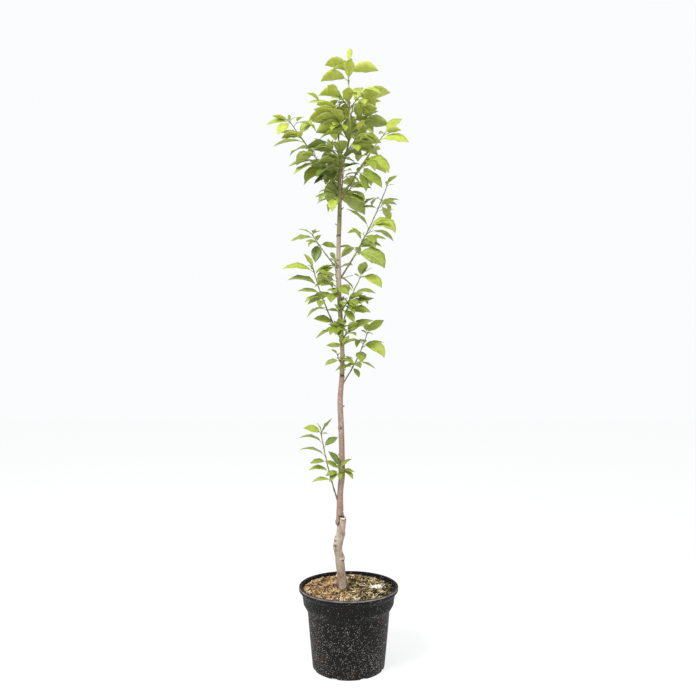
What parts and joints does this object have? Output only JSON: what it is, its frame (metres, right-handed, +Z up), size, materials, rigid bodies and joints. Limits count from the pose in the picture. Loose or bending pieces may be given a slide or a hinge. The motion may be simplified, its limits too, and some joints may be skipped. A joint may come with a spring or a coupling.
{
  "type": "potted tree",
  "caption": "Young grafted fruit tree in a round nursery pot: one slim leaning trunk with a graft knob, rising boughs and an airy crown of folded leaves.",
  "frame": {"origin": "centre of the pot's flat underside", "axes": "+Z up the tree, the longest extent; +X to the right and -Y towards the viewer in the picture"},
  "size_m": [0.352, 0.2692, 1.5406],
  "materials": {
    "black_plastic": "matt black moulded plastic, dusty, with a greyed rim",
    "mix_chips": "loose dry bark chips in tan, brown and dark",
    "bark": "dull young bark, beige on the rootstock and pinkish brown above the graft",
    "young_bark": "smooth dull twig bark, green on new growth",
    "leaf_green": "soft satin leaf, bright lime at the top and darker in the shade"
  },
  "bodies": {
    "root": {"pot": "black_plastic", "potting_mix": "mix_chips", "trunk": "bark", "bough_right_long": "young_bark", "foliage_right_long": "leaf_green", "bough_right_upper": "young_bark", "foliage_right_upper": "leaf_green", "bough_left_upper": "young_bark", "foliage_left_upper": "leaf_green", "bough_left_middle": "young_bark", "foliage_left_middle": "leaf_green", "bough_left_long": "young_bark", "foliage_left_long": "leaf_green", "bough_right_lower": "young_bark", "foliage_right_lower": "leaf_green", "bough_right_lowest": "young_bark", "foliage_right_lowest": "leaf_green", "bough_sprout": "young_bark", "foliage_sprout": "leaf_green", "foliage_leader_top": "leaf_green", "bough_twin_leader": "young_bark", "foliage_twin_leader": "leaf_green", "foliage_tier_right": "leaf_green", "foliage_tier_left": "leaf_green", "foliage_tier_back": "leaf_green", "foliage_shade_right": "leaf_green", "foliage_shade_left": "leaf_green", "foliage_leader_right": "leaf_green", "foliage_leader_left": "leaf_green", "foliage_fork_front": "leaf_green", "foliage_fork_left": "leaf_green", "foliage_fork_right": "leaf_green", "foliage_front_left": "leaf_green", "bough_back_upper": "young_bark", "foliage_back_upper": "leaf_green", "bough_back_middle": "young_bark", "foliage_back_middle": "leaf_green", "foliage_collar_upper": "leaf_green", "foliage_collar_middle": "leaf_green", "foliage_collar_left": "leaf_green", "foliage_collar_lower": "leaf_green", "foliage_collar_front": "leaf_green", "foliage_collar_foot": "leaf_green", "foliage_trunk_tuft": "leaf_green"}
  },
  "joints": []
}
